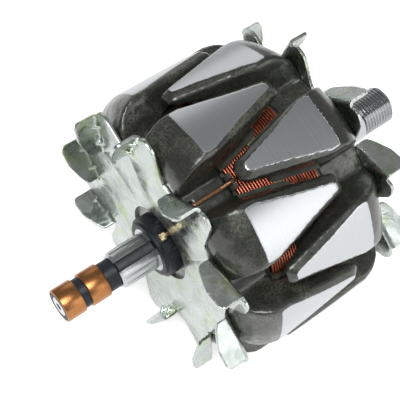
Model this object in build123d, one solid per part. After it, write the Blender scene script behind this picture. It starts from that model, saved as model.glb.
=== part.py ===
from build123d import *
import os
from math import cos, sin, radians

# Claw-pole rotor of a vehicle alternator, lying on its side.
# The shaft runs along X with its threaded end towards +X and its slip rings towards -X.
# The origin is on the shaft's axis, at the inner end of the drive-end bearing journal.
# Sizes are millimetres. An angle around the shaft starts at +Z and grows towards -Y.

# Magnet body
rotor_radius = 56.0          # ground faces of the claws
body_length = 68.0           # over the backs of the two pole halves
claw_count = 8               # on each half
disc_thickness = 17.5        # of a pole half, between its claws
shoulder_radius = 14.0       # rounding from the back of a claw to its ground face
core_radius = 24.0           # half core inside the coil
claw_end_gap = 0.5           # from the tip of a claw to the inner face of the other half's disc
claw_tip_thickness = 4.0
claw_root_thickness = 11.5
claw_root_half_width = 11.8
claw_tip_half_width = 3.9
claw_tip_rounding = 2.3
claw_straight = 2.0          # from the end of the shoulder to where a claw starts to narrow
bevel_width = 2.9            # rough band along the long edges of a claw
bevel_depth = 2.1
face_corner = 3.2            # cut corner of a ground face at the root of its claw
lead_slot_width = 4.4
lead_slot_depth = 3.2
rest_turn = 7.0              # how far the rotor rolls from a claw's middle before it lies still

# Field coil
bobbin_wall = 1.4
flange_thickness = 1.3
flange_drop = 1.6            # edge of a flange, below the outside of the winding
petal_thickness = 0.8
petal_gap = 0.2              # under the claws
petal_overhang = 0.8         # past the sides of the claw above
petal_set_back = 3.2         # from the end of a flap to the end of the winding
tape_width = 3.6
tape_thickness = 0.25
post_width = 2.0             # posts on the flange, beside each lead wire
post_height = 3.4            # above the outside of the winding
lead_radius = 0.9
lead_bend = 2.0
lead_sides = 10

# Shaft
shaft_body_radius = 9.0      # inside the poles
drive_journal_radius = 8.5
drive_journal_length = 28.0
thread_radius = 8.0
thread_length = 16.0
thread_chamfer = 1.2
rear_journal_radius = 7.5
rear_journal_length = 16.0   # in front of the collector's hub
rear_journal_chamfer = 1.0
pin_radius = 4.0             # under the slip rings
centre_hole_radius = 1.4
centre_hole_depth = 3.0

# Collector
neck_radius = 5.9
neck_length = 5.1            # bare, beside the inner slip ring
ring_radius = 6.7
ring_length = 8.0
ring_gap = 2.9
hub_radius = 12.5
hub_length = 6.3
hub_step = 1.3               # length and depth of the step round the hub's front edge
tooth_height = 2.2           # teeth round the hub's back edge, beside the terminals
tooth_width = 2.6
tooth_turn = 24.0            # degrees from one tooth to the next
bar_width = 4.0
bar_depth = 3.0
bar_sink = 0.1               # below the journal's surface
terminal_seat_depth = 0.9    # flat on the hub
terminal_width = 3.0
terminal_wall = 0.4
terminal_length = 2.4

# Fans
fan_thickness = 1.3
fan_hole_radius = 16.0
fan_disc_gap = 15.0          # edge of the disc between two blades, inside the claws' ground faces
blade_outer_gap = 0.9        # outer end of a blade, inside the claws' ground faces
blade_inner_gap = 14.6       # inner end of a blade, inside the claws' ground faces
blade_height = 8.8
blade_sweep = 14.5           # degrees that the outer end of a blade lies ahead of its inner end
blade_cut = 4.4              # sloping inner end of a blade
blade_corner = 1.6
gusset_size = 3.0            # stiffening folds in the bend of a blade
gusset_width = 1.8
lobe_lead = 5.5              # degrees from the end of a blade to the tip of the lobe before it
lobe_tail = 11.0             # degrees from that tip to the foot of the lobe
lobe_tip_gap = 0.3           # tip of a lobe, inside the claws' ground faces
rear_blade_angles = (-113, -79, -45, -12, 25, 62, 102, 143, 181, 214)
front_blade_angles = (-83, -47, -14, 22, 54, 93, 130, 168, 205, 240)

seat_gap = 0.02              # between round faces that touch on the real rotor

# Sizes and places that follow
pitch = 360 / claw_count
valley_radius = rotor_radius - shoulder_radius
claw_reach = body_length / 2 - disc_thickness - claw_end_gap
winding_half = body_length / 2 - disc_thickness - flange_thickness
flap_top = rotor_radius - claw_root_thickness - petal_gap
flap_radius = flap_top - petal_thickness
winding_radius = flap_radius - tape_thickness - seat_gap
flange_radius = winding_radius - flange_drop
petal_reach = winding_half - petal_set_back
body_mid = -(body_length / 2 + fan_thickness)
rear_back = body_mid - body_length / 2
hub_front = rear_back - hub_length
rear_journal_end = hub_front - rear_journal_length
inner_ring_end = rear_journal_end - neck_length
outer_ring_end = inner_ring_end - ring_length - ring_gap
shaft_end = outer_ring_end - ring_length
lead_angles = (pitch / 2, pitch / 2 + 180)
terminal_seat = hub_radius - terminal_seat_depth
terminal_height = 2 * (terminal_wall + lead_radius + seat_gap)
lead_end_radius = terminal_seat + terminal_height / 2


def tube(inner, outer, start, end):
    """A ring about the shaft, from start to end along X."""
    ring = Circle(outer) if inner == 0 else Circle(outer) - Circle(inner)
    return extrude(Plane.YZ.offset(start) * ring, end - start)


def turned(shape, angle):
    """The shape turned about the shaft, from +Z towards -Y."""
    return Rot(angle, 0, 0) * shape


def spun(outline):
    """A full turn about the shaft of a closed outline of (x, radius) points."""
    return revolve(Plane.XZ * make_face(outline), Axis.X, 360)


def claw_plan(grow, back, back_corner):
    """Outline of a claw seen from outside the rotor, widened by grow, with its tip towards +X."""
    straight_end = -body_length / 2 + shoulder_radius + claw_straight
    wide = claw_root_half_width + grow
    narrow = claw_tip_half_width + grow
    tip = claw_reach + grow
    corner = (claw_tip_rounding + grow / 2) * 0.6
    half = [
        (back, wide - back_corner),
        (back + back_corner, wide),
        (straight_end, wide),
        (tip - corner, narrow),
        (tip, narrow - corner),
    ]
    return make_face(Polyline(*half, *[(x, -y) for x, y in reversed(half)], close=True))


def claw_prism():
    """A claw's sides and the sloping bands round its ground face, taller than the claw itself."""
    back = -body_length / 2
    low = valley_radius - shoulder_radius
    band_foot = rotor_radius - bevel_depth
    band_top = rotor_radius + bevel_depth * 0.1
    plan = claw_plan(0, back - 1, 0.5)
    face = claw_plan(-bevel_width * 1.1, back + shoulder_radius - face_corner / 2, face_corner)
    side = extrude(Plane.XY.offset(low) * plan, band_foot - low)
    band = loft([Plane.XY.offset(band_foot) * plan, Plane.XY.offset(band_top) * face], ruled=True)
    return side + band


def claw_section():
    """Section of a claw with its shoulder, from the shaft's side, with its tip towards +X."""
    back = -body_length / 2
    inner_face = back + disc_thickness
    low = valley_radius - shoulder_radius
    under_root = rotor_radius - claw_root_thickness
    under_tip = rotor_radius - claw_tip_thickness
    shoulder = CenterArc((back + shoulder_radius, rotor_radius - shoulder_radius), shoulder_radius, 90, 90)
    rest = Polyline(
        shoulder @ 0,
        (claw_reach, rotor_radius),
        (claw_reach, under_tip),
        (inner_face, under_root),
        (inner_face, low),
        (back, low),
        shoulder @ 1,
    )
    return shoulder + rest


def pole_half():
    """One forged half with its claws, half core and bore, with its back towards -X."""
    back = -body_length / 2
    disc = tube(0, valley_radius, back, back + disc_thickness)
    core = tube(0, core_radius, back, 0)
    ring = spun(claw_section())
    prism = claw_prism()
    claws = [ring & turned(prism, i * pitch) for i in range(claw_count)]
    return disc + core + claws - tube(0, shaft_body_radius + seat_gap, back - 1, 1)


def slotted(half):
    """A pole half with a slot down its back for each lead wire."""
    reach = valley_radius - terminal_seat + 2 * lead_radius
    slot = Pos(-body_length / 2, 0, valley_radius) * Box(2 * lead_slot_depth, lead_slot_width, 2 * reach)
    for angle in lead_angles:
        half -= turned(slot, angle)
    return half


def bobbin_side():
    """Flange, half tube and flaps on the side of the half whose back is towards -X."""
    inner_face = -body_length / 2 + disc_thickness
    tube_in = core_radius + seat_gap
    half = tube(tube_in, tube_in + bobbin_wall, inner_face, 0)
    half += tube(tube_in, flange_radius, inner_face, inner_face + flange_thickness)
    rim = tube(flange_radius - 1, flap_top, inner_face, inner_face + flange_thickness)
    flaps = rim + tube(flap_radius, flap_top, inner_face, petal_reach)
    prism = extrude(Plane.XY * claw_plan(petal_overhang, -body_length / 2, 0.5), rotor_radius)
    return half + [flaps & turned(prism, i * pitch) for i in range(claw_count)]


def posts():
    """Pairs of posts on the rear flange that keep each lead wire in its place."""
    low, high = flange_radius - 1, winding_radius + post_height
    middle = body_mid - winding_half - flange_thickness / 2
    side = lead_radius + post_width / 2 + 4 * seat_gap
    post = Box(flange_thickness, post_width, high - low)
    pair = [Pos(middle, y, (low + high) / 2) * post for y in (-side, side)]
    return [turned(item, angle) for angle in lead_angles for item in pair]


def to_rear(shape):
    return Pos(body_mid, 0, 0) * shape


def to_front(shape):
    return Pos(body_mid, 0, 0) * turned(mirror(shape, Plane.YZ), pitch / 2)


def shaft():
    """Turned shaft with its body, journals, thread, pin under the rings and grooves for the bars."""
    thread_end = drive_journal_length + thread_length
    body = tube(0, shaft_body_radius, hub_front, 0)
    journal = tube(0, drive_journal_radius, 0, drive_journal_length)
    thread = tube(0, thread_radius, drive_journal_length, thread_end)
    thread = chamfer(thread.edges().filter_by(GeomType.CIRCLE).sort_by(Axis.X)[-1], thread_chamfer)
    rear = tube(0, rear_journal_radius, rear_journal_end, hub_front)
    rear = chamfer(rear.edges().filter_by(GeomType.CIRCLE).sort_by(Axis.X)[0], rear_journal_chamfer)
    whole = body + journal + thread + rear + tube(0, pin_radius, shaft_end, rear_journal_end)
    whole -= tube(0, centre_hole_radius, shaft_end, shaft_end + centre_hole_depth)
    whole -= tube(0, centre_hole_radius, thread_end - centre_hole_depth, thread_end)
    groove = bar_block(bar_width / 2 + seat_gap, bar_depth + seat_gap, shaft_body_radius + 1)
    for angle in lead_angles:
        whole -= turned(groove, angle)
    return whole


def bar_block(half_width, depth, top):
    """A bar of the collector, along +Z, from the neck to the back of the hub."""
    low = rear_journal_radius - depth
    length = rear_back - rear_journal_end
    return Pos((rear_back + rear_journal_end) / 2, 0, (low + top) / 2) * Box(length, 2 * half_width, top - low)


def collector():
    """Moulded insulation: neck under the slip rings, two bars along the journal, and hub."""
    neck = tube(pin_radius + seat_gap, neck_radius, shaft_end, rear_journal_end)
    hub_in = shaft_body_radius + seat_gap
    hub = tube(hub_in, hub_radius - hub_step, hub_front, hub_front + hub_step)
    hub += tube(hub_in, hub_radius, hub_front + hub_step, rear_back)
    outside = tube(0, rear_journal_radius - bar_sink, rear_journal_end, hub_front)
    outside += tube(0, hub_in + 1, hub_front, rear_back)
    body = neck + hub
    bar = bar_block(bar_width / 2, bar_depth, hub_in + 1) & outside
    for angle in lead_angles:
        body += turned(bar, angle)
    tooth = Plane.XY.offset(shaft_body_radius + 1) * make_face(Polyline(
        (rear_back - tooth_width, 0), (rear_back, -tooth_width / 2), (rear_back, tooth_width / 2), close=True,
    ))
    tooth = extrude(tooth, hub_radius + tooth_height - shaft_body_radius - 1)
    seat_end = hub_front + hub_step
    seat = Pos((seat_end + rear_back) / 2, 0, terminal_seat + hub_radius / 2) * Box(
        rear_back - seat_end, terminal_width + 1, hub_radius)
    for angle in lead_angles:
        body += [turned(tooth, angle + side * tooth_turn) for side in (-1, 1)]
        body -= turned(seat, angle)
    return body


def lead_wire():
    """End of the coil: over the valley, down the slot in the back and out to the terminal."""
    coil_top = winding_radius + lead_radius + seat_gap
    floor = valley_radius + lead_radius + seat_gap
    slot_x = rear_back + lead_slot_depth / 2
    line = Plane.XZ * FilletPolyline(
        (body_mid - petal_reach - lead_radius, coil_top),
        (body_mid - winding_half - lead_radius / 2, coil_top),
        (body_mid - winding_half - 5 * lead_radius, floor),
        (slot_x, floor),
        (slot_x, lead_end_radius),
        (rear_back - hub_length / 2 - terminal_length / 2, lead_end_radius),
        radius=(lead_bend, lead_bend, lead_bend, lead_bend * 0.8),
    )
    start = Plane(origin=line @ 0, z_dir=line % 0)
    return sweep(start * RegularPolygon(lead_radius, lead_sides), line)


def terminal():
    """Folded strip on the hub, closed round the end of a lead wire."""
    middle = rear_back - hub_length / 2
    strip = Pos(middle, 0, terminal_seat + terminal_height / 2) * Box(terminal_length, terminal_width, terminal_height)
    strip = chamfer(strip.edges().filter_by(Axis.X).sort_by(Axis.Z)[-2:], terminal_wall)
    hole = Pos(middle, 0, lead_end_radius) * Rot(0, 90, 0) * Cylinder(lead_radius + seat_gap, terminal_length)
    return strip - hole


def around(radius, angle):
    """Point of a fan's disc at a radius and an angle, as (y, z)."""
    return -radius * sin(radians(angle)), radius * cos(radians(angle))


def fan_outline(angles):
    """Disc of a fan with a lobe before each blade, seen along the shaft."""
    disc_radius = rotor_radius - fan_disc_gap
    inner = rotor_radius - blade_inner_gap
    outer = rotor_radius - blade_outer_gap
    disc = Circle(disc_radius)
    for angle in angles:
        corners = [
            (inner - 2 * fan_thickness, angle - blade_sweep),
            (inner, angle - blade_sweep),
            (outer, angle),
            (rotor_radius - lobe_tip_gap, angle + lobe_lead * 0.6),
            (outer - blade_corner, angle + lobe_lead * 1.6),
            (disc_radius, angle + lobe_lead + lobe_tail),
            (inner - 4 * fan_thickness, angle + lobe_lead),
        ]
        disc += make_face(Polyline(*[around(r, a) for r, a in corners], close=True))
    return disc - Circle(fan_hole_radius)


def blade(angle):
    """Bent-up blade of a fan with the folds that stiffen its bend, standing on the fan's face."""
    foot = Vector(0, *around(rotor_radius - blade_inner_gap, angle - blade_sweep))
    end = Vector(0, *around(rotor_radius - blade_outer_gap, angle))
    along = end - foot
    length, high = along.length, blade_height + fan_thickness
    base = Plane(origin=foot, x_dir=along, z_dir=Vector(-1, 0, 0).cross(along) * -1)
    leaf = make_face(Polyline(
        (0, 0), (length, 0), (length, high - blade_corner), (length - blade_corner, high),
        (blade_cut, high), (0, high - blade_cut), close=True,
    ))
    piece = extrude(base * leaf, fan_thickness)
    fold = make_face(Polyline((0, 0), (gusset_size, 0), (0, gusset_size), close=True))
    for share in (0.28, 0.72):
        place = foot + along * share - Vector(fan_thickness, 0, 0)
        side = Plane(origin=place, x_dir=-base.z_dir, z_dir=along)
        piece += extrude(side * fold, gusset_width / 2, both=True)
    return piece


def fan(angles):
    """Pressed fan with its back face at x = 0 and its blades towards -X."""
    sheet = extrude(Plane.YZ * fan_outline(angles), -fan_thickness)
    return sheet + [blade(angle) for angle in angles]


rear_fan_back = rear_back
front_fan_back = body_mid + body_length / 2
nodes = {
    "shaft": shaft(),
    "pole_rear": to_rear(slotted(pole_half())),
    "pole_front": to_front(pole_half()),
    "coil_bobbin": to_rear(bobbin_side()) + to_front(bobbin_side()) + posts(),
    "coil_winding": to_rear(tube(
        core_radius + bobbin_wall + 2 * seat_gap, winding_radius, -winding_half, winding_half,
    )),
    "coil_tape": to_rear(tube(winding_radius, winding_radius + tape_thickness, -tape_width / 2, tape_width / 2)),
    "collector_body": collector(),
    "slip_ring_outer": tube(neck_radius + seat_gap, ring_radius, shaft_end, outer_ring_end),
    "slip_ring_inner": tube(neck_radius + seat_gap, ring_radius, inner_ring_end - ring_length, inner_ring_end),
    "lead_wire_a": turned(lead_wire(), lead_angles[0]),
    "lead_wire_b": turned(lead_wire(), lead_angles[1]),
    "terminal_a": turned(terminal(), lead_angles[0]),
    "terminal_b": turned(terminal(), lead_angles[1]),
    "fan_rear": Pos(rear_fan_back, 0, 0) * fan(rear_blade_angles),
    "fan_front": Pos(front_fan_back, 0, 0) * mirror(fan(front_blade_angles), Plane.YZ),
}

os.makedirs("parts", exist_ok=True)
for name, shape in nodes.items():
    export_step(turned(shape, rest_turn), f"parts/{name}.step")
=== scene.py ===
import math
from math import cos, pi, radians, sin

import bmesh
import bpy
from bpy.props import FloatProperty, FloatVectorProperty, IntProperty, PointerProperty
from mathutils import Matrix, Vector, noise


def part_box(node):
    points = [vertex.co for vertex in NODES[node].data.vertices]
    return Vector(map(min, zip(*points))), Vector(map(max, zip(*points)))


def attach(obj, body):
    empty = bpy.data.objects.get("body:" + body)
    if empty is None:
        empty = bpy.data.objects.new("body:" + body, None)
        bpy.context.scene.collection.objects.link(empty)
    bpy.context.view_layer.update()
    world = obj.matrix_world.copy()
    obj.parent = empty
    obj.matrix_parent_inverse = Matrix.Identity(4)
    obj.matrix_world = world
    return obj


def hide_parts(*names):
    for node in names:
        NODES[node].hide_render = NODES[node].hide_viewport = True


bl_info = {
    "name": "Claw-pole rotor",
    "version": (1, 0, 0),
    "blender": (4, 5, 0),
    "location": "View3D > Sidebar > Rotor",
    "description": "Dresses the solids of an alternator rotor with their real finishes",
    "category": "Object",
}

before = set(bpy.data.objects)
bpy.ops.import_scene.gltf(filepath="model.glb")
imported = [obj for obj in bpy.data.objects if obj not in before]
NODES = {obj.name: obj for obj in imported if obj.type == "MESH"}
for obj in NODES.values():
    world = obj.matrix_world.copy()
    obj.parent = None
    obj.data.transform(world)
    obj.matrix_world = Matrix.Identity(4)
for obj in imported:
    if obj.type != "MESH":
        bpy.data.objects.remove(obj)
MM = 0.001

CLAWS = 8
PITCH = 360 / CLAWS
LEAD_ANGLES = (PITCH / 2, PITCH / 2 + 180)

REAR_BLADES = (-113, -79, -45, -12, 25, 62, 102, 143, 181, 214)
FRONT_BLADES = (-83, -47, -14, 22, 54, 93, 130, 168, 205, 240)

# Places along the shaft, read from the solids
REAR_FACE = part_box("pole_rear")[0].x
FRONT_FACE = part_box("pole_front")[1].x
COIL_START, COIL_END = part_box("coil_winding")[0].x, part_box("coil_winding")[1].x
COIL_MIDDLE = (COIL_START + COIL_END) / 2
COIL_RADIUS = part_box("coil_winding")[1].z

# Places along the shaft where no solid ends
NECK_END = -91.6 * MM
HUB_FRONT = -75.6 * MM
THREAD_START = 28 * MM


class RotorSizes(bpy.types.PropertyGroup):
    """Sizes of what is added to the solids"""

    rest_turn: FloatProperty(
        name="Rest turn", description="How far the rotor is rolled round its shaft",
        default=radians(7), subtype="ANGLE",
    )
    rotor_radius: FloatProperty(
        name="Rotor radius", description="Radius of the ground claw faces", default=56 * MM, unit="LENGTH",
    )
    forging_voxel: FloatProperty(
        name="Forging detail", description="Size of the small faces of the forgings",
        default=0.8 * MM, unit="LENGTH",
        precision=5,
    )
    forging_wave: FloatProperty(
        name="Forging waviness", description="Height of the uneven forged skin",
        default=0.28 * MM, unit="LENGTH",
        precision=5,
    )
    flap_reach: FloatProperty(
        name="Flap reach", description="From the coil's middle to the end of a flap of the bobbin",
        default=3.7 * MM, unit="LENGTH", precision=5,
    )
    flap_thickness: FloatProperty(
        name="Flap thickness", description="Wall of the bobbin's flaps", default=0.8 * MM, unit="LENGTH",
        precision=5,
    )
    flap_root: FloatProperty(
        name="Flap root", description="Half width of a flap at the root of its claw", default=12.3 * MM,
        unit="LENGTH", precision=5,
    )
    flap_narrowing: FloatProperty(
        name="Flap narrowing", description="Half width that a flap loses for each length along its claw",
        default=0.242,
    )
    thread_pitch: FloatProperty(
        name="Thread pitch", description="From crest to crest of the drive end's thread", default=1.5 * MM,
        unit="LENGTH", precision=5,
    )
    wire_pitch: FloatProperty(
        name="Wire pitch", description="From turn to turn of the field coil", default=1.1 * MM, unit="LENGTH",
        precision=5,
    )
    sheet_thickness: FloatProperty(
        name="Fan sheet", description="Thickness of the fans' sheet steel", default=1.3 * MM, unit="LENGTH",
        precision=5,
    )
    bend_radius: FloatProperty(
        name="Fan bend", description="Outer radius of the bend at the foot of a blade", default=2.4 * MM,
        unit="LENGTH", precision=5,
    )
    blade_height: FloatProperty(
        name="Blade height", description="From the fan's face to the top of a blade", default=8.8 * MM,
        unit="LENGTH", precision=5,
    )
    blade_slope: FloatProperty(
        name="Blade slope", description="Length of the sloping inner end of a blade", default=4.4 * MM,
        unit="LENGTH", precision=5,
    )
    blade_corner: FloatProperty(
        name="Blade corner", description="Rounding of a blade's upper corners", default=2.2 * MM,
        unit="LENGTH", precision=5,
    )
    fold_size: FloatProperty(
        name="Fold", description="Height of the folds that stiffen the bend of a blade", default=3.0 * MM,
        unit="LENGTH", precision=5,
    )
    fold_width: FloatProperty(
        name="Fold width", description="Width of a fold along its blade", default=1.8 * MM, unit="LENGTH",
        precision=5,
    )
    blade_segments: IntProperty(
        name="Blade segments", description="Faces along one blade", default=22, min=8,
    )


class RotorColours(bpy.types.PropertyGroup):
    """Colours of the finishes"""

    forging: FloatVectorProperty(
        name="Forging", description="Dark skin of the claws", default=(0.036, 0.039, 0.03), subtype="COLOR",
    )
    # Paler blotches of the forged skin: partly wear, partly painted sheen for the grey sheen patches on the
    # claws' shoulders.
    forging_wear_and_sheen: FloatVectorProperty(
        name="Forging, worn", description="Rubbed parts of the forged skin", default=(0.11, 0.115, 0.085),
        subtype="COLOR",
    )
    steel: FloatVectorProperty(
        name="Ground steel", description="Ground and turned faces",
        default=(0.5, 0.515, 0.53), subtype="COLOR",
    )
    zinc: FloatVectorProperty(
        name="Zinc plate", description="Sheet of the fans", default=(0.47, 0.51, 0.49), subtype="COLOR",
    )
    zinc_tint: FloatVectorProperty(
        name="Zinc tint", description="Passivated blotches on the zinc",
        default=(0.38, 0.45, 0.29), subtype="COLOR",
    )
    wire: FloatVectorProperty(
        name="Coil wire", description="Enamelled wire of the coil",
        default=(0.6, 0.16, 0.085), subtype="COLOR",
    )
    strands: FloatVectorProperty(
        name="Lead strands", description="Bare copper of the leads", default=(0.5, 0.27, 0.15),
        subtype="COLOR",
    )
    copper: FloatVectorProperty(
        name="Slip rings", description="Turned copper", default=(0.46, 0.2, 0.075), subtype="COLOR",
    )
    moulding: FloatVectorProperty(
        name="Moulding", description="Plastic under the slip rings",
        default=(0.012, 0.014, 0.018), subtype="COLOR",
    )
    insulation: FloatVectorProperty(
        name="Insulation", description="Flaps of the coil's bobbin",
        default=(0.03, 0.031, 0.024), subtype="COLOR",
    )
    tape: FloatVectorProperty(
        name="Tape", description="Varnished tape round the coil", default=(0.3, 0.25, 0.1), subtype="COLOR",
    )
    brass: FloatVectorProperty(
        name="Terminals", description="Tinned strip", default=(0.7, 0.6, 0.38), subtype="COLOR",
    )


class RotorStage(bpy.types.PropertyGroup):
    """Camera and light"""

    camera_distance: FloatProperty(
        name="Camera distance", description="From the shaft's axis to the lens",
        default=391.55 * MM, unit="LENGTH",
    )
    camera_lens: FloatProperty(name="Lens", description="Focal length in millimetres", default=91.29)
    key_power: FloatProperty(
        name="Key light", description="Power of the lamp above", default=10.0, unit="POWER",
    )
    camera_azimuth: FloatProperty(
        name="Azimuth", description="Turn of the camera round the rotor",
        default=radians(-37.883), subtype="ANGLE",
    )
    camera_elevation: FloatProperty(
        name="Elevation", description="Height of the camera over the floor, as an angle",
        default=radians(54.266), subtype="ANGLE",
    )
    camera_roll: FloatProperty(
        name="Camera roll", description="Turn of the camera about the shaft's axis", default=radians(-1.031),
        subtype="ANGLE",
    )
    camera_aim: FloatProperty(
        name="Aim", description="Place on the shaft that the camera turns round", default=-45.02 * MM,
        unit="LENGTH", precision=5,
    )
    camera_shift: FloatVectorProperty(
        name="Shift", description="Shift of the lens, across and up", default=(-0.0326, 0.0232), size=2,
    )
    sky_strength: FloatProperty(
        name="Sky", description="Strength of the plain soft light all round", default=0.3,
    )
    floor_glow: FloatProperty(
        name="Floor glow", description="What the floor adds to itself where it is seen or mirrored",
        default=0.6,
    )
    fill_power: FloatProperty(
        name="Fill light", description="Power of the side lamps", default=2.3, unit="POWER",
    )


def sizes():
    return bpy.context.scene.rotor_sizes


def colours():
    return bpy.context.scene.rotor_colours


def spot(along, radius, degrees):
    """Point at a place along the shaft, a radius and an angle that starts at the top and grows towards -Y."""
    angle = radians(degrees) + sizes().rest_turn
    return Vector((along, -radius * sin(angle), radius * cos(angle)))


# Materials

def put(tree, kind, links=None, **settings):
    """Adds a node, gives it its settings, and sets or joins its inputs."""
    made = tree.nodes.new(kind)
    for name, value in settings.items():
        setattr(made, name, value)
    for name, value in (links or {}).items():
        socket = made.inputs[name]
        if isinstance(value, bpy.types.NodeSocket):
            tree.links.new(value, socket)
        else:
            socket.default_value = value
    return made


def calc(tree, operation, first, second=0.0, clamp=False):
    """Math node."""
    return put(tree, "ShaderNodeMath", {0: first, 1: second}, operation=operation, use_clamp=clamp).outputs[0]


def ramp(tree, value, low, high, start=0.0, end=1.0, smooth=True):
    """Maps low..high to start..end, clamped."""
    return put(
        tree, "ShaderNodeMapRange",
        {"Value": value, "From Min": low, "From Max": high, "To Min": start, "To Max": end},
        interpolation_type="SMOOTHSTEP" if smooth else "LINEAR",
    ).outputs[0]


def blend(tree, share, first, second):
    """Mixes two colours."""
    made = put(tree, "ShaderNodeMix", data_type="RGBA")
    for socket, value in ((made.inputs[0], share), (made.inputs[6], first), (made.inputs[7], second)):
        if isinstance(value, bpy.types.NodeSocket):
            tree.links.new(value, socket)
        elif socket == made.inputs[0]:
            socket.default_value = value
        else:
            socket.default_value = (*value[:3], 1)
    return made.outputs[2]


def group(name, inputs, outputs, build):
    """Makes a shader node group once: inputs are (name, kind, default), and build joins its inside."""
    if name in bpy.data.node_groups:
        return bpy.data.node_groups[name]
    tree = bpy.data.node_groups.new(name, "ShaderNodeTree")
    for label, kind, default in inputs:
        socket = tree.interface.new_socket(name=label, in_out="INPUT", socket_type=kind)
        if default is not None:
            socket.default_value = default
    for label in outputs:
        tree.interface.new_socket(name=label, in_out="OUTPUT", socket_type="NodeSocketFloat")
    enter = tree.nodes.new("NodeGroupInput")
    leave = tree.nodes.new("NodeGroupOutput")
    for label, socket in build(tree, enter.outputs).items():
        tree.links.new(socket, leave.inputs[label])
    return tree


def placed(tree, made, links):
    """Puts a node group into a material and sets or joins its inputs."""
    item = tree.nodes.new("ShaderNodeGroup")
    item.node_tree = made
    for name, value in links.items():
        if isinstance(value, bpy.types.NodeSocket):
            tree.links.new(value, item.inputs[name])
        else:
            item.inputs[name].default_value = value
    return item


def shaft_radius():
    """Distance from the shaft's axis, and place along it."""
    def build(tree, enter):
        split = put(tree, "ShaderNodeSeparateXYZ", {0: enter["Position"]})
        flat = put(tree, "ShaderNodeCombineXYZ", {"Y": split.outputs["Y"], "Z": split.outputs["Z"]})
        length = put(tree, "ShaderNodeVectorMath", {0: flat.outputs[0]}, operation="LENGTH")
        return {"Radius": length.outputs["Value"], "Along": split.outputs["X"]}

    return group("shaft_radius", [("Position", "NodeSocketVector", None)], ["Radius", "Along"], build)


def sand_grain():
    """Skin of a forging: fine sandy grain on larger soft waves."""
    def build(tree, enter):
        fine = put(
            tree, "ShaderNodeTexNoise", {"Vector": enter["Position"], "Scale": enter["Scale"], "Detail": 3.0,
                                         "Roughness": 0.6},
        ).outputs["Fac"]
        broad = calc(tree, "MULTIPLY", enter["Scale"], 0.17)
        waves = put(
            tree, "ShaderNodeTexNoise", {"Vector": enter["Position"], "Scale": broad, "Detail": 2.0},
        ).outputs["Fac"]
        height = calc(tree, "ADD", calc(tree, "MULTIPLY", fine, 0.6), calc(tree, "MULTIPLY", waves, 0.9))
        return {"Height": height, "Fine": fine, "Waves": waves}

    return group(
        "sand_grain", [("Position", "NodeSocketVector", None), ("Scale", "NodeSocketFloat", 1500.0)],
        ["Height", "Fine", "Waves"], build,
    )


def turning_lines():
    """Fine rings that a lathe or a grinder leaves round the shaft."""
    def build(tree, enter):
        split = put(tree, "ShaderNodeSeparateXYZ", {0: enter["Position"]})
        drift = put(
            tree, "ShaderNodeTexNoise", {"Vector": enter["Position"], "Scale": 60.0, "Detail": 1.0},
        ).outputs["Fac"]
        along = calc(tree, "ADD", split.outputs["X"], calc(tree, "MULTIPLY", drift, enter["Drift"]))
        lines = put(
            tree, "ShaderNodeTexNoise",
            {"W": along, "Scale": enter["Lines"], "Detail": 4.0, "Roughness": 0.7}, noise_dimensions="1D",
        ).outputs["Fac"]
        return {"Lines": lines, "Drift": drift}

    return group(
        "turning_lines",
        [("Position", "NodeSocketVector", None), ("Lines", "NodeSocketFloat", 2500.0),
         ("Drift", "NodeSocketFloat", 0.0002)],
        ["Lines", "Drift"], build,
    )


def stains():
    """Soft blotches, as a mask."""
    def build(tree, enter):
        cloud = put(
            tree, "ShaderNodeTexNoise",
            {"Vector": enter["Position"], "Scale": enter["Scale"], "Detail": 4.0, "Roughness": 0.55,
             "Distortion": 0.6},
        ).outputs["Fac"]
        mask = put(
            tree, "ShaderNodeMapRange",
            {"Value": cloud, "From Min": enter["From"], "From Max": enter["To"]},
            interpolation_type="SMOOTHSTEP",
        ).outputs[0]
        return {"Mask": mask, "Cloud": cloud}

    return group(
        "stains",
        [("Position", "NodeSocketVector", None), ("Scale", "NodeSocketFloat", 60.0),
         ("From", "NodeSocketFloat", 0.45), ("To", "NodeSocketFloat", 0.65)],
        ["Mask", "Cloud"], build,
    )


def started(slot, look=None):
    """New material for a slot, with its shader and Object coordinates."""
    material = bpy.data.materials.new((look or slot) + "_look")
    material["slot"] = slot
    material.use_nodes = True
    tree = material.node_tree
    tree.nodes.clear()
    end = tree.nodes.new("ShaderNodeOutputMaterial")
    surface = tree.nodes.new("ShaderNodeBsdfPrincipled")
    tree.links.new(surface.outputs[0], end.inputs["Surface"])
    position = tree.nodes.new("ShaderNodeTexCoord").outputs["Object"]
    return material, tree, surface, position


def feed(tree, surface, **values):
    """Sets or joins the shader's sockets; underscores stand for spaces."""
    for name, value in values.items():
        socket = surface.inputs[name.replace("_", " ")]
        if isinstance(value, bpy.types.NodeSocket):
            tree.links.new(value, socket)
        elif isinstance(value, (tuple, list)) or hasattr(value, "r"):
            socket.default_value = (*value[:3], 1)
        else:
            socket.default_value = value


def bumped(tree, height, distance, strength=1.0):
    """Small relief, as a normal."""
    return put(
        tree, "ShaderNodeBump", {"Height": height, "Distance": distance, "Strength": strength},
    ).outputs["Normal"]


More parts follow.
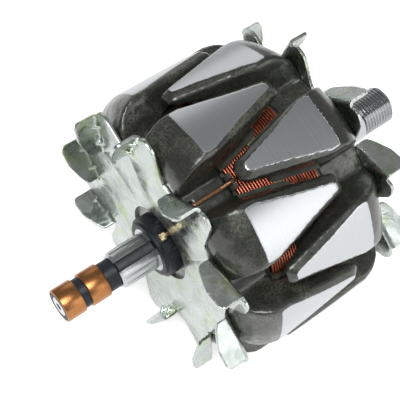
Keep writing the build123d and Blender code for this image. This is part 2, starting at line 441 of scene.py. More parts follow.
def forged_iron():
    """Dark varnished forging with ground claw faces."""
    material, tree, surface, position = started("forged_iron")
    radius = placed(tree, shaft_radius(), {"Position": position}).outputs["Radius"]
    edge = sizes().rotor_radius
    ground = ramp(tree, radius, edge - 0.10 * MM, edge - 0.03 * MM)
    grain = placed(tree, sand_grain(), {"Position": position, "Scale": 1300.0})
    lines = placed(tree, turning_lines(), {"Position": position, "Lines": 1800.0, "Drift": 0.0004})
    # Paler random blotches on the forged skin: partly wear, partly painted sheen.
    wear_sheen_blotches = placed(tree, stains(), {"Position": position, "Scale": 55.0, "From": 0.48, "To": 0.7})
    skin = blend(tree, wear_sheen_blotches.outputs["Mask"], colours().forging, colours().forging_wear_and_sheen)
    pits = ramp(tree, grain.outputs["Fine"], 0.34, 0.62)
    skin = blend(tree, pits, tuple(c * 0.45 for c in colours().forging), skin)
    bright = ramp(tree, lines.outputs["Lines"], 0.3, 0.7)
    face = blend(tree, bright, tuple(c * 0.93 for c in colours().steel), colours().steel)
    height = calc(
        tree, "ADD",
        calc(tree, "MULTIPLY", grain.outputs["Height"], calc(tree, "SUBTRACT", 1.0, ground)),
        calc(tree, "MULTIPLY", calc(tree, "MULTIPLY", lines.outputs["Lines"], 0.006), ground),
    )
    rough = calc(
        tree, "ADD",
        calc(tree, "MULTIPLY", ramp(tree, grain.outputs["Waves"], 0.3, 0.7, 0.28, 0.46),
             calc(tree, "SUBTRACT", 1.0, ground)),
        calc(tree, "MULTIPLY", ramp(tree, lines.outputs["Lines"], 0.2, 0.8, 0.27, 0.33), ground),
    )
    feed(
        tree, surface,
        Base_Color=blend(tree, ground, skin, face),
        Metallic=ramp(tree, ground, 0.0, 1.0, 0.3, 1.0, smooth=False),
        Roughness=rough,
        Coat_Weight=ramp(tree, ground, 0.0, 1.0, 0.7, 0.0, smooth=False),
        Coat_Roughness=0.16,
        Normal=bumped(tree, height, 0.14 * MM),
    )
    return material


def turned_steel():
    """Bright turned steel with rings round the shaft."""
    material, tree, surface, position = started("turned_steel")
    lines = placed(tree, turning_lines(), {"Position": position, "Lines": 3500.0, "Drift": 0.0})
    bright = ramp(tree, lines.outputs["Lines"], 0.3, 0.7)
    feed(
        tree, surface,
        Base_Color=blend(tree, bright, tuple(c * 0.78 for c in colours().steel), colours().steel),
        Metallic=1.0,
        Roughness=ramp(tree, lines.outputs["Lines"], 0.2, 0.8, 0.14, 0.24),
        Normal=bumped(tree, lines.outputs["Lines"], 0.02 * MM),
    )
    return material


def zinc_sheet():
    """Bright zinc plate with faint green and yellow stains and drawing marks."""
    material, tree, surface, position = started("zinc_sheet")
    blotch = placed(tree, stains(), {"Position": position, "Scale": 70.0, "From": 0.5, "To": 0.68})
    marks = placed(tree, stains(), {"Position": position, "Scale": 170.0, "From": 0.4, "To": 0.8})
    colour = blend(tree, blotch.outputs["Mask"], colours().zinc, colours().zinc_tint)
    grey = ramp(tree, marks.outputs["Mask"], 0.0, 1.0, 0.0, 0.5, smooth=False)
    colour = blend(tree, grey, colour, tuple(c * 0.82 for c in colours().zinc))
    height = calc(tree, "ADD", calc(tree, "MULTIPLY", blotch.outputs["Cloud"], 9.0), marks.outputs["Cloud"])
    feed(
        tree, surface,
        Base_Color=colour,
        Metallic=1.0,
        Roughness=ramp(tree, marks.outputs["Cloud"], 0.3, 0.7, 0.2, 0.36),
        Normal=bumped(tree, height, 0.08 * MM),
    )
    return material


def enamelled_wire():
    """Glossy red-brown enamel, with painted shade, nearly black, in the grooves between the turns."""
    material, tree, surface, position = started("enamelled_wire")
    tone = placed(tree, stains(), {"Position": position, "Scale": 300.0, "From": 0.35, "To": 0.65})
    radius = placed(tree, shaft_radius(), {"Position": position}).outputs["Radius"]
    # Painted shade: under the crests, in the grooves between turns, the colour falls to nearly black.
    crest = ramp(tree, radius, COIL_RADIUS - 0.42 * MM, COIL_RADIUS - 0.1 * MM)
    enamel = blend(tree, tone.outputs["Mask"], tuple(c * 0.6 for c in colours().wire), colours().wire)
    feed(
        tree, surface,
        Base_Color=blend(tree, crest, tuple(c * 0.06 for c in colours().wire), enamel),
        Metallic=0.8,
        Roughness=ramp(tree, tone.outputs["Cloud"], 0.3, 0.7, 0.2, 0.34),
        Coat_Weight=0.3,
        Coat_Roughness=0.12,
    )
    return material


def copper_strands():
    """Bundle of fine copper strands, which run along a lead everywhere, with painted shade between the
    strands.
    """
    material, tree, surface, position = started("enamelled_wire", look="copper_strands")
    turn = radians(LEAD_ANGLES[0]) + sizes().rest_turn
    across = put(
        tree, "ShaderNodeVectorMath", {0: position, 1: (0, cos(turn), sin(turn))}, operation="DOT_PRODUCT",
    ).outputs["Value"]
    strands = put(
        tree, "ShaderNodeTexNoise", {"W": across, "Scale": 2600.0, "Detail": 1.0}, noise_dimensions="1D",
    ).outputs["Fac"]
    # Painted shade and light: the strands' tops keep the copper colour, and the gaps between them fall to a
    # fifth of it.
    lit = ramp(tree, strands, 0.38, 0.62)
    feed(
        tree, surface,
        Base_Color=blend(tree, lit, tuple(c * 0.18 for c in colours().strands), colours().strands),
        Metallic=0.9,
        Roughness=ramp(tree, strands, 0.3, 0.7, 0.4, 0.26),
        Normal=bumped(tree, strands, 0.12 * MM),
    )
    return material


def coil_insulation():
    """Varnished dark moulding."""
    material, tree, surface, position = started("coil_insulation")
    tone = placed(tree, stains(), {"Position": position, "Scale": 180.0, "From": 0.35, "To": 0.7})
    paler = tuple(c * 1.8 for c in colours().insulation)
    feed(
        tree, surface,
        Base_Color=blend(tree, tone.outputs["Mask"], colours().insulation, paler),
        Roughness=ramp(tree, tone.outputs["Cloud"], 0.3, 0.7, 0.3, 0.5),
        Normal=bumped(tree, tone.outputs["Cloud"], 0.1 * MM),
    )
    return material


def binding_tape():
    """Olive tape, soaked in varnish."""
    material, tree, surface, position = started("binding_tape")
    weave = placed(tree, stains(), {"Position": position, "Scale": 900.0, "From": 0.35, "To": 0.65})
    feed(
        tree, surface,
        Base_Color=blend(tree, weave.outputs["Mask"], tuple(c * 0.6 for c in colours().tape), colours().tape),
        Roughness=ramp(tree, weave.outputs["Cloud"], 0.3, 0.7, 0.35, 0.6),
        Normal=bumped(tree, weave.outputs["Cloud"], 0.1 * MM),
    )
    return material


def black_moulding():
    """Blue-black plastic with a slight sheen."""
    material, tree, surface, position = started("black_moulding")
    tone = placed(tree, stains(), {"Position": position, "Scale": 350.0, "From": 0.3, "To": 0.7})
    paler = tuple(c * 1.7 for c in colours().moulding)
    feed(
        tree, surface,
        Base_Color=blend(tree, tone.outputs["Mask"], colours().moulding, paler),
        Roughness=ramp(tree, tone.outputs["Cloud"], 0.3, 0.7, 0.35, 0.5),
        Specular_IOR_Level=0.22,
        Normal=bumped(tree, tone.outputs["Cloud"], 0.05 * MM),
    )
    return material


def slip_ring_copper():
    """Turned copper with fine rings."""
    material, tree, surface, position = started("slip_ring_copper")
    lines = placed(tree, turning_lines(), {"Position": position, "Lines": 5000.0, "Drift": 0.0})
    bright = ramp(tree, lines.outputs["Lines"], 0.3, 0.7)
    feed(
        tree, surface,
        Base_Color=blend(tree, bright, tuple(c * 0.7 for c in colours().copper), colours().copper),
        Metallic=1.0,
        Roughness=ramp(tree, lines.outputs["Lines"], 0.2, 0.8, 0.22, 0.38),
        Normal=bumped(tree, lines.outputs["Lines"], 0.02 * MM),
    )
    return material


def terminal_brass():
    """Tinned strip, slightly dull."""
    material, tree, surface, position = started("terminal_brass")
    tone = placed(tree, stains(), {"Position": position, "Scale": 500.0, "From": 0.3, "To": 0.7})
    dull = tuple(c * 0.7 for c in colours().brass)
    feed(
        tree, surface,
        Base_Color=blend(tree, tone.outputs["Mask"], dull, colours().brass),
        Metallic=1.0,
        Roughness=ramp(tree, tone.outputs["Cloud"], 0.3, 0.7, 0.25, 0.42),
        Normal=bumped(tree, tone.outputs["Cloud"], 0.05 * MM),
    )
    return material


# Meshes

def finished(name, bm, material, *nodes, sharp=35):
    """Turns a bmesh into a piece that rides on the rotor and stands for CAD nodes."""
    bmesh.ops.recalc_face_normals(bm, faces=bm.faces)
    mesh = bpy.data.meshes.new(name)
    bm.to_mesh(mesh)
    bm.free()
    return finished_mesh(name, mesh, material, *nodes, sharp=sharp)


def finished_mesh(name, mesh, material, *nodes, sharp=35):
    """Puts a mesh into the scene as a piece that stands for CAD nodes."""
    mesh.name = name
    mesh.shade_smooth()
    mesh.set_sharp_from_angle(angle=radians(sharp))
    mesh.materials.clear()
    mesh.materials.append(material)
    item = bpy.data.objects.new(name, mesh)
    bpy.context.scene.collection.objects.link(item)
    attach(item, "root")
    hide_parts(*nodes)
    return item


def solid_copy(node):
    """A CAD node's mesh with its loose triangles joined."""
    bm = bmesh.new()
    bm.from_mesh(NODES[node].data)
    bmesh.ops.remove_doubles(bm, verts=bm.verts, dist=0.005 * MM)
    return bm


def spin_round(profile, steps=96):
    """Full turn of a line of (along, radius) points round the shaft."""
    bm = bmesh.new()
    corners = [bm.verts.new((x, 0, r)) for x, r in profile]
    edges = [bm.edges.new(pair) for pair in zip(corners, corners[1:])]
    bmesh.ops.spin(
        bm, geom=corners + edges, cent=(0, 0, 0), axis=(1, 0, 0), dvec=(0, 0, 0), angle=2 * pi, steps=steps,
        use_merge=True, use_normal_flip=False, use_duplicate=False,
    )
    bmesh.ops.remove_doubles(bm, verts=bm.verts, dist=0.001 * MM)
    return bm


def soften(item, width, segments=2, angle=32):
    """Small rounding of an object's sharp edges."""
    edge = item.modifiers.new("rounded_edges", "BEVEL")
    edge.width = width
    edge.segments = segments
    edge.limit_method = "ANGLE"
    edge.angle_limit = radians(angle)
    edge.miter_outer = "MITER_ARC"
    return edge


class ROTOR_OT_poles(bpy.types.Operator):
    """Forged pole halves with rounded rough claws and crisp ground faces"""

    bl_idname = "rotor.poles"
    bl_label = "Pole halves"

    def execute(self, context):
        material = forged_iron()
        for node in ("pole_rear", "pole_front"):
            self.forge(context, node, material)
        return {"FINISHED"}

    def forge(self, context, node, material):
        """Leaves stock on the ground faces, roughens the skin and then cuts the faces to their radius."""
        size = sizes()
        edge = size.rotor_radius - 0.005 * MM
        stock, wave_length, calm_depth = 0.45 * MM, 6 * MM, 5 * MM
        bm = solid_copy(node)
        for vert in bm.verts:
            radius = math.hypot(vert.co.y, vert.co.z)
            if radius > edge - 0.1 * MM:
                vert.co.yz *= (edge + stock) / radius
        rough = bpy.data.meshes.new(node + "_rough")
        bm.to_mesh(rough)
        bm.free()
        carrier = bpy.data.objects.new(node + "_rough", rough)
        context.scene.collection.objects.link(carrier)
        skin = carrier.modifiers.new("skin", "REMESH")
        skin.mode = "VOXEL"
        skin.voxel_size = size.forging_voxel
        smooth = carrier.modifiers.new("smooth", "SMOOTH")
        smooth.factor = 0.5
        smooth.iterations = 3
        shaped = carrier.evaluated_get(context.evaluated_depsgraph_get())
        mesh = bpy.data.meshes.new_from_object(shaped)
        bpy.data.objects.remove(carrier)
        bm = bmesh.new()
        bm.from_mesh(mesh)
        bm.normal_update()
        for vert in bm.verts:
            place = vert.co / wave_length
            wave = noise.noise(place) + 0.5 * noise.noise(place * 2.7)
            below = edge - math.hypot(vert.co.y, vert.co.z)
            calm = min(1.0, max(0.15, below / calm_depth))
            vert.co += vert.normal * wave * size.forging_wave * calm
        for vert in bm.verts:
            radius = math.hypot(vert.co.y, vert.co.z)
            if radius > edge:
                vert.co.yz *= edge / radius
        bm.to_mesh(mesh)
        bm.free()
        finished_mesh(node + "_forging", mesh, material, node, sharp=180)


class ROTOR_OT_shaft(bpy.types.Operator):
    """Turned shaft with its journals, cut thread and centre holes"""

    bl_idname = "rotor.shaft"
    bl_label = "Shaft"

    def execute(self, context):
        material = turned_steel()
        low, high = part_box("shaft")
        start, end = low.x, high.x
        centre_hole, pin, rear_journal, body, drive_journal = 1.4 * MM, 4 * MM, 7.5 * MM, 9 * MM, 8.5 * MM
        thread_root = 7.1 * MM
        profile = [
            (start + 3 * MM, 0), (start + 3 * MM, centre_hole), (start, centre_hole + 0.1 * MM),
            (start, pin - 0.2 * MM), (start + 0.2 * MM, pin), (NECK_END, pin), (NECK_END, rear_journal - MM),
            (NECK_END + MM, rear_journal), (HUB_FRONT, rear_journal), (HUB_FRONT, body), (-0.3 * MM, body),
            (0, body - 0.3 * MM), (0, drive_journal), (THREAD_START - 0.6 * MM, drive_journal),
            (THREAD_START, drive_journal - 0.5 * MM), (THREAD_START, thread_root),
            (end - 0.5 * MM, thread_root), (end, thread_root - 0.5 * MM), (end, centre_hole + 0.1 * MM),
            (end - 3 * MM, centre_hole), (end - 3 * MM, 0),
        ]
        finished("shaft_turned", spin_round(profile), material, "shaft")
        self.cut_thread(material, THREAD_START, end)
        return {"FINISHED"}

    def cut_thread(self, material, start, end):
        """Helical ridge over the drive end, chamfered at its end."""
        pitch = sizes().thread_pitch
        turns = int((end - start) / pitch) + 1
        bm = bmesh.new()
        root, crest, end_radius = 7.05 * MM, 8.0 * MM, 6.9 * MM
        corners = [
            bm.verts.new((start - pitch + share * pitch, 0, radius))
            for share, radius in ((0, root), (0.4, crest), (0.55, crest), (1, root))
        ]
        edges = [bm.edges.new(pair) for pair in zip(corners, corners[1:])]
        steps = 40
        bmesh.ops.spin(
            bm, geom=corners + edges, cent=(0, 0, 0), axis=(1, 0, 0), dvec=(pitch / steps, 0, 0),
            angle=2 * pi * turns, steps=steps * turns, use_merge=False, use_normal_flip=False,
            use_duplicate=False,
        )
        bmesh.ops.remove_doubles(bm, verts=bm.verts, dist=0.005 * MM)
        for cut, side in ((start - 0.02 * MM, -1), (end - 0.02 * MM, 1)):
            bmesh.ops.bisect_plane(
                bm, geom=bm.verts[:] + bm.edges[:] + bm.faces[:], plane_co=(cut, 0, 0), plane_no=(side, 0, 0),
                clear_outer=True,
            )
        for vert in bm.verts:
            radius = math.hypot(vert.co.y, vert.co.z)
            allowed = end_radius + (end - vert.co.x)
            if radius > allowed:
                vert.co.yz *= allowed / radius
        finished("drive_thread", bm, material, sharp=30)


class ROTOR_OT_collector(bpy.types.Operator):
    """Slip rings, the moulding under them and the terminals"""

    bl_idname = "rotor.collector"
    bl_label = "Collector"

    def execute(self, context):
        copper = slip_ring_copper()
        for node in ("slip_ring_outer", "slip_ring_inner"):
            low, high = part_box(node)
            a, b, r = low.x, high.x, high.z
            inner = 5.95 * MM
            profile = [
                (a, inner), (a, r - 0.4 * MM), (a + 0.15 * MM, r - 0.1 * MM), (a + 0.4 * MM, r),
                (b - 0.4 * MM, r), (b - 0.15 * MM, r - 0.1 * MM), (b, r - 0.4 * MM), (b, inner), (a, inner),
            ]
            finished(node + "_turned", spin_round(profile), copper, node, sharp=50)
        plastic = black_moulding()
        moulding = solid_copy("collector_body")
        bar_low, bar_top, bar_raised = 7 * MM, 7.45 * MM, 7.65 * MM
        for vert in moulding.verts:
            radius = math.hypot(vert.co.y, vert.co.z)
            on_journal = NECK_END - MM < vert.co.x < HUB_FRONT + 0.1 * MM
            if on_journal and bar_low < radius < bar_top:
                vert.co.yz *= bar_raised / radius
        body = finished("collector_moulding", moulding, plastic, "collector_body", sharp=30)
        soften(body, 0.2 * MM)
        brass = terminal_brass()
        for node in ("terminal_a", "terminal_b"):
            strip = finished(node + "_strip", solid_copy(node), brass, node, sharp=30)
            soften(strip, 0.1 * MM)
        return {"FINISHED"}


class ROTOR_OT_coil(bpy.types.Operator):
    """Field coil: turns of wire, tape and the bobbin with its flaps"""

    bl_idname = "rotor.coil"
    bl_label = "Field coil"

    def execute(self, context):
        pitch = sizes().wire_pitch
        count = int((COIL_END - COIL_START) / pitch)
        inner = COIL_RADIUS - 4 * MM
        profile = [(COIL_START, inner)]
        for i in range(count):
            middle = COIL_START + (i + 0.5) * (COIL_END - COIL_START) / count
            outer = COIL_RADIUS - (0.06 + 0.05 * sin(i * 2.4)) * MM
            for step in range(6):
                angle = pi * step / 6
                profile.append((middle - cos(angle) * pitch / 2, outer - (1 - sin(angle)) * pitch / 2))
        profile += [(COIL_END, COIL_RADIUS - pitch), (COIL_END, inner), profile[0]]
        finished("coil_turns", spin_round(profile, 128), enamelled_wire(), "coil_winding", sharp=60)
        low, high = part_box("coil_tape")
        a, b, r = low.x, high.x, high.z
        ring = [
            (a, r - 0.3 * MM), (a, r - 0.05 * MM), (a + 0.1 * MM, r), (b - 0.1 * MM, r),
            (b, r - 0.05 * MM), (b, r - 0.3 * MM), (a, r - 0.3 * MM),
        ]
        finished("tape_band", spin_round(ring, 128), binding_tape(), "coil_tape", sharp=60)
        self.bobbin()
        return {"FINISHED"}

    def bobbin(self):
        """Two flanges, a flap under each claw and the posts beside the leads."""
        low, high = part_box("coil_bobbin")
        edge, depth = COIL_RADIUS - 1.6 * MM, 12 * MM
        bm = bmesh.new()
        for outside, inside, side in ((low.x, COIL_START, 1), (high.x, COIL_END, -1)):
            ring = [(outside, edge - depth), (outside, edge), (inside, edge), (inside, edge - depth)]
            flange = spin_round(ring + ring[:1])
            mesh = bpy.data.meshes.new("flange")
            flange.to_mesh(mesh)
            flange.free()
            bm.from_mesh(mesh)
            bpy.data.meshes.remove(mesh)
            first = 0 if side > 0 else PITCH / 2
            for i in range(CLAWS):
                self.flap(bm, first + i * PITCH, outside, inside, side)
        for angle in LEAD_ANGLES:
            for offset in (-2 * MM, 2 * MM):
                self.post(bm, angle, offset, (low.x + COIL_START) / 2, COIL_START - low.x)
        item = finished("bobbin_moulding", bm, coil_insulation(), "coil_bobbin", sharp=30)
        soften(item, 0.15 * MM)

    def flap(self, bm, angle, outside, inside, side):
        """Curved flap from the flange past the coil's middle, narrowing like its claw, with a round end."""
        size = sizes()
        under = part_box("coil_tape")[1].z + 0.02 * MM
        foot = COIL_RADIUS - 2.6 * MM
        corner = 3 * MM
        reach = abs(COIL_MIDDLE - inside) + size.flap_reach
        wall = abs(inside - outside)
        length = wall + reach
        rows = [(0.0, foot), (wall, foot), (wall, under)]
        rows += [(wall + (reach - corner) * i / 6, under) for i in range(1, 7)]
        rows += [(length - corner + corner * sin(pi / 2 * i / 6), under) for i in range(1, 7)]
        layers = []
        for far, inner in rows:
            half = size.flap_root - size.flap_narrowing * far
            into = max(0.0, far - (length - corner))
            half -= corner - math.sqrt(max(0.0, corner ** 2 - into ** 2))
            line = []
            for radius in (inner, under + size.flap_thickness):
                shares = (i / 4 - 1 for i in range(9))
                line.append([
                    bm.verts.new(spot(outside + side * far, radius, angle + math.degrees(half * s / under)))
                    for s in shares
                ])
            layers.append(line)
        for (low_a, top_a), (low_b, top_b) in zip(layers, layers[1:]):
            for a, b in ((low_a, low_b), (top_a, top_b)):
                for i in range(8):
                    bm.faces.new((a[i], a[i + 1], b[i + 1], b[i]))
            for i in (0, 8):
                bm.faces.new((low_a[i], low_b[i], top_b[i], top_a[i]))
        for bottom, top in (layers[0], layers[-1]):
            for i in range(8):
                bm.faces.new((bottom[i], bottom[i + 1], top[i + 1], top[i]))

    def post(self, bm, angle, offset, along, thickness):
        """Post on the flange that keeps a lead in its place."""
        base, top = COIL_RADIUS - 2.6 * MM, COIL_RADIUS + 3.4 * MM
        turn = Matrix.Rotation(radians(angle) + sizes().rest_turn, 4, "X")
        shift = Matrix.Translation((along, offset, (base + top) / 2))
        scale = Matrix.Diagonal((thickness, 2 * MM, top - base, 1))
        bmesh.ops.create_cube(bm, size=1, matrix=turn @ shift @ scale)


class ROTOR_OT_leads(bpy.types.Operator):
    """Ends of the coil, from the winding to the terminals"""

    bl_idname = "rotor.leads"
    bl_label = "Leads"

    def execute(self, context):
        wire = copper_strands()
        for node in ("lead_wire_a", "lead_wire_b"):
            finished(node + "_wire", solid_copy(node), wire, node, sharp=60)
        return {"FINISHED"}


class ROTOR_OT_fans(bpy.types.Operator):
    """Two pressed fans, each one bent sheet with its blades, lobes and folds"""

    bl_idname = "rotor.fans"
    bl_label = "Fans"

    def execute(self, context):
        material = zinc_sheet()
        self.press("fan_rear", REAR_FACE, -1, REAR_BLADES, material)
        self.press("fan_front", FRONT_FACE, 1, FRONT_BLADES, material)
        return {"FINISHED"}

    def press(self, node, back, out, angles, material):
        """Fills the fan's flat outline, bends a blade up at each foot and adds the folds."""
        size = sizes()
        outer_radius = size.rotor_radius - 0.9 * MM
        inner_radius = size.rotor_radius - 14.6 * MM
        disc_radius = size.rotor_radius - 15 * MM
        tip_radius = size.rotor_radius - 0.35 * MM
        tail_radius = size.rotor_radius - 2.6 * MM
        hole_radius = 16 * MM
        blade_sweep, tip_turn, tail_turn, foot_turn = 14.5, 4.5, 9.5, 16.5
        bend = size.bend_radius
        bm = bmesh.new()
        folds = bmesh.new()
        outline, feet, round_off = [], [], []
        for angle in angles:
            start = spot(back, inner_radius, angle - blade_sweep)
            end = spot(back, outer_radius, angle)
            along = (end - start).normalized()
            inward = along.cross(Vector((1, 0, 0)))
            if inward.dot(spot(0, 1, angle + 90)) < 0:
                inward.negate()
            first = bm.verts.new(start + inward * bend)
            last = bm.verts.new(end + inward * bend - along * 0.3 * MM)
            tip = bm.verts.new(spot(back, tip_radius, angle + tip_turn))
            tail = bm.verts.new(spot(back, tail_radius, angle + tail_turn))
            foot = bm.verts.new(spot(back, disc_radius, angle + foot_turn))
            outline += [first, last, tip, tail, foot]
            round_off += [tip, tail, foot]
            feet.append((first.co.copy(), last.co.copy(), inward))
            for share in (0.28, 0.72):
                self.fold(folds, start.lerp(end, share), along, inward, Vector((out, 0, 0)))
        sheet = bm.faces.new(outline)
        bmesh.ops.bevel(
            bm, geom=round_off, offset=1.8 * MM, offset_type="OFFSET", segments=4, profile=0.5,
            affect="VERTICES", material=-1, clamp_overlap=True,
        )
        bmesh.ops.delete(bm, geom=bm.faces[:], context="FACES_ONLY")
        bends = []
        for first, last, inward in feet:
            for edge in bm.edges:
                ends = {tuple(round(c, 6) for c in v.co) for v in edge.verts}
                if ends == {tuple(round(c, 6) for c in first), tuple(round(c, 6) for c in last)}:
                    bends.append((edge, inward))
        if len(bends) != len(angles):
            raise RuntimeError("a blade has lost the line it bends on")
        rims = []
        for edge, inward in bends:
            cut = bmesh.ops.subdivide_edges(bm, edges=[edge], cuts=size.blade_segments - 1)
            inner = [e for e in cut["geom_split"] if isinstance(e, bmesh.types.BMEdge)]
            rims.append((inner, inward))
        hole = bmesh.ops.create_circle(bm, cap_ends=False, segments=64, radius=hole_radius)["verts"]
        bmesh.ops.rotate(bm, verts=hole, cent=(0, 0, 0), matrix=Matrix.Rotation(pi / 2, 3, "Y"))
        bmesh.ops.translate(bm, verts=hole, vec=(back, 0, 0))
        bmesh.ops.triangle_fill(bm, use_beauty=True, use_dissolve=False, edges=bm.edges[:])
        for edges, inward in rims:
            self.raise_blade(bm, edges, inward, back, out)
        bmesh.ops.recalc_face_normals(bm, faces=bm.faces)
        flat = next(
            f for f in bm.faces
            if abs(f.normal.x) > 0.9 and math.hypot(*f.calc_center_median().yz) < 30 * MM
        )
        if flat.normal.x * out < 0:
            bmesh.ops.reverse_faces(bm, faces=bm.faces)
        mesh = bpy.data.meshes.new(node)
        bm.to_mesh(mesh)
        bm.free()
        item = finished_mesh(node + "_sheet", mesh, material, node, sharp=40)
        wall = item.modifiers.new("sheet", "SOLIDIFY")
        wall.thickness = size.sheet_thickness
        wall.offset = 1.0
        soften(item, 0.22 * MM, 2, 50)
        soften(finished(node + "_folds", folds, material), 0.5 * MM, 3)

    def fold(self, bm, place, along, inward, out):
        """Wedge across the hollow side of a bend."""
        size = sizes()
        corner = place + (inward + out) * size.sheet_thickness * 0.8
        ends = []
        for side in (-0.5, 0.5):
            shift = along * side * size.fold_width
            points = (corner, corner + inward * size.fold_size, corner + out * size.fold_size)
            ends.append([bm.verts.new(point + shift) for point in points])
        near, far = ends
        bm.faces.new(near)
        bm.faces.new(far)
        for i in range(3):
            bm.faces.new((near[i], near[i - 1], far[i - 1], far[i]))

    def raise_blade(self, bm, edges, inward, back, out):
        """Bends the sheet up along a chain of edges and gives the blade its outline."""
        size = sizes()
        verts = list({v for e in edges for v in e.verts})
        middle = sum((v.co for v in verts), Vector()) / len(verts)
        ends = sorted(verts, key=lambda v: (v.co - verts[0].co).length)
        axis = (ends[-1].co - ends[0].co).normalized()
        centre = middle + Vector((out * size.bend_radius, 0, 0))
        trial = Matrix.Rotation(pi / 2, 3, axis) @ (middle - centre)
        turn = pi / 2 if trial.dot(inward) < 0 else -pi / 2
        made = bmesh.ops.spin(
            bm, geom=verts + edges, cent=centre, axis=axis, dvec=(0, 0, 0), angle=turn, steps=6,
            use_merge=False, use_normal_flip=False, use_duplicate=False,
        )["geom_last"]
        top = [e for e in made if isinstance(e, bmesh.types.BMEdge)]
        height = size.blade_height - size.bend_radius + size.sheet_thickness
        rows = 8
        start = min((v.co for e in top for v in e.verts), key=lambda c: math.hypot(c.y, c.z)).copy()
        finish = max((v.co for e in top for v in e.verts), key=lambda c: math.hypot(c.y, c.z)).copy()
        length = (finish - start).length
        along = (finish - start) / length
        for row in range(rows):
            grown = bmesh.ops.extrude_edge_only(bm, edges=top)["geom"]
            top = [e for e in grown if isinstance(e, bmesh.types.BMEdge) and all(v in grown for v in e.verts)]
            moved = [v for v in grown if isinstance(v, bmesh.types.BMVert)]
            bmesh.ops.translate(bm, verts=moved, vec=(out * height / rows, 0, 0))
            share = (row + 1) / rows
            rise = max(0.0, share - 0.45) / 0.55
            begin = size.blade_slope * rise
            corner = size.blade_corner
            left = height * (1 - share)
            back_off = corner - math.sqrt(max(0.0, corner ** 2 - max(0.0, corner - left) ** 2))
            stop = length - back_off
            begin += back_off * 0.8
            for vert in moved:
                at = (vert.co - start).dot(along)
                wanted = begin + (stop - begin) * at / length
                vert.co += along * (wanted - at)


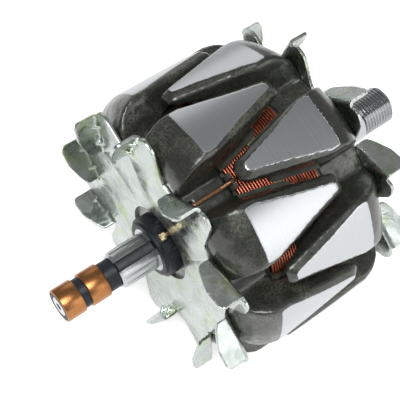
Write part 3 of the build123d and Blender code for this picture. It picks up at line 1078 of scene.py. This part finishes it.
class ROTOR_OT_stage(bpy.types.Operator):
    """Pale floor, soft lamps and the camera"""

    bl_idname = "rotor.stage"
    bl_label = "Stage"

    def execute(self, context):
        scene = context.scene
        scene.view_settings.view_transform = "Standard"
        self.floor(context)
        self.world(scene)
        self.lamps(context)
        self.camera(context)
        return {"FINISHED"}

    def floor(self, context):
        low = min(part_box(n)[0].z for n in NODES)
        bm = bmesh.new()
        bmesh.ops.create_grid(bm, x_segments=1, y_segments=1, size=6)
        bmesh.ops.translate(bm, verts=bm.verts, vec=(0, 0, low))
        mesh = bpy.data.meshes.new("floor")
        bm.to_mesh(mesh)
        bm.free()
        floor = bpy.data.objects.new("floor", mesh)
        context.scene.collection.objects.link(floor)
        material = bpy.data.materials.new("pale_floor")
        material.use_nodes = True
        tree = material.node_tree
        surface = tree.nodes["Principled BSDF"]
        feed(tree, surface, Base_Color=(0.86, 0.86, 0.86), Roughness=0.9)
        ray = tree.nodes.new("ShaderNodeLightPath")
        seen = calc(tree, "MAXIMUM", ray.outputs["Is Camera Ray"], ray.outputs["Is Glossy Ray"])
        seen = calc(tree, "MAXIMUM", seen, ray.outputs["Is Transmission Ray"])
        glow = calc(tree, "MULTIPLY", seen, context.scene.rotor_stage.floor_glow)
        feed(tree, surface, Emission_Color=(1.0, 1.0, 1.0), Emission_Strength=glow)
        mesh.materials.append(material)

    def world(self, scene):
        world = bpy.data.worlds.new("studio")
        scene.world = world
        world.use_nodes = True
        tree = world.node_tree
        tree.nodes.clear()
        end = tree.nodes.new("ShaderNodeOutputWorld")
        strength = scene.rotor_stage.sky_strength
        lit = put(tree, "ShaderNodeBackground", {"Color": (1, 1, 1, 1), "Strength": strength})
        tree.links.new(lit.outputs[0], end.inputs["Surface"])

    def lamps(self, context):
        middle = Vector((-40 * MM, 0, 0))
        stage = context.scene.rotor_stage
        spots = (
            ("key", Vector((-0.3, -0.5, 1.0)), 0.55, stage.key_power),
            ("front", Vector((0.36, -0.95, 0.3)), 0.6, stage.fill_power),
            ("far", Vector((0.5, 0.9, 0.6)), 0.7, stage.fill_power * 0.6),
        )
        for name, offset, width, power in spots:
            data = bpy.data.lights.new(name, "AREA")
            data.shape = "SQUARE"
            data.size = width
            data.energy = power
            lamp = bpy.data.objects.new(name, data)
            context.scene.collection.objects.link(lamp)
            lamp.location = middle + offset
            lamp.rotation_mode = "QUATERNION"
            lamp.rotation_quaternion = offset.to_track_quat("Z", "Y")

    def camera(self, context):
        stage = context.scene.rotor_stage
        azimuth, elevation = stage.camera_azimuth, stage.camera_elevation
        back = Vector((sin(azimuth) * cos(elevation), -cos(azimuth) * cos(elevation), sin(elevation)))
        right = Vector((cos(azimuth), sin(azimuth), 0))
        up = back.cross(right)
        roll = Matrix.Rotation(sizes().rest_turn + stage.camera_roll, 4, "X")
        data = bpy.data.cameras.new("camera")
        data.lens = stage.camera_lens
        data.sensor_width = 36
        data.shift_x, data.shift_y = stage.camera_shift
        data.clip_start = 0.01
        camera = bpy.data.objects.new("camera", data)
        context.scene.collection.objects.link(camera)
        axes = Matrix((right, up, back)).transposed().to_4x4()
        eye = Vector((stage.camera_aim, 0, 0)) + back * stage.camera_distance
        camera.matrix_world = roll @ Matrix.Translation(eye) @ axes
        context.scene.camera = camera


class ROTOR_PT_panel(bpy.types.Panel):
    """Buttons for the rotor's pieces"""

    bl_idname = "ROTOR_PT_panel"
    bl_label = "Claw-pole rotor"
    bl_space_type = "VIEW_3D"
    bl_region_type = "UI"
    bl_category = "Rotor"

    def draw(self, context):
        for operator in OPERATORS:
            self.layout.operator(operator.bl_idname)


GROUPS = (RotorSizes, RotorColours, RotorStage)
OPERATORS = (
    ROTOR_OT_poles, ROTOR_OT_shaft, ROTOR_OT_collector, ROTOR_OT_coil, ROTOR_OT_leads, ROTOR_OT_fans,
    ROTOR_OT_stage,
)


def register():
    for item in (*GROUPS, *OPERATORS, ROTOR_PT_panel):
        bpy.utils.register_class(item)
    bpy.types.Scene.rotor_sizes = PointerProperty(type=RotorSizes)
    bpy.types.Scene.rotor_colours = PointerProperty(type=RotorColours)
    bpy.types.Scene.rotor_stage = PointerProperty(type=RotorStage)


def unregister():
    del bpy.types.Scene.rotor_sizes
    del bpy.types.Scene.rotor_colours
    del bpy.types.Scene.rotor_stage
    for item in reversed((*GROUPS, *OPERATORS, ROTOR_PT_panel)):
        bpy.utils.unregister_class(item)


def main():
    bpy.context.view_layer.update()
    register()
    bpy.ops.rotor.poles()
    bpy.ops.rotor.shaft()
    bpy.ops.rotor.collector()
    bpy.ops.rotor.coil()
    bpy.ops.rotor.leads()
    bpy.ops.rotor.fans()
    bpy.ops.rotor.stage()


if __name__ == "__main__":
    main()
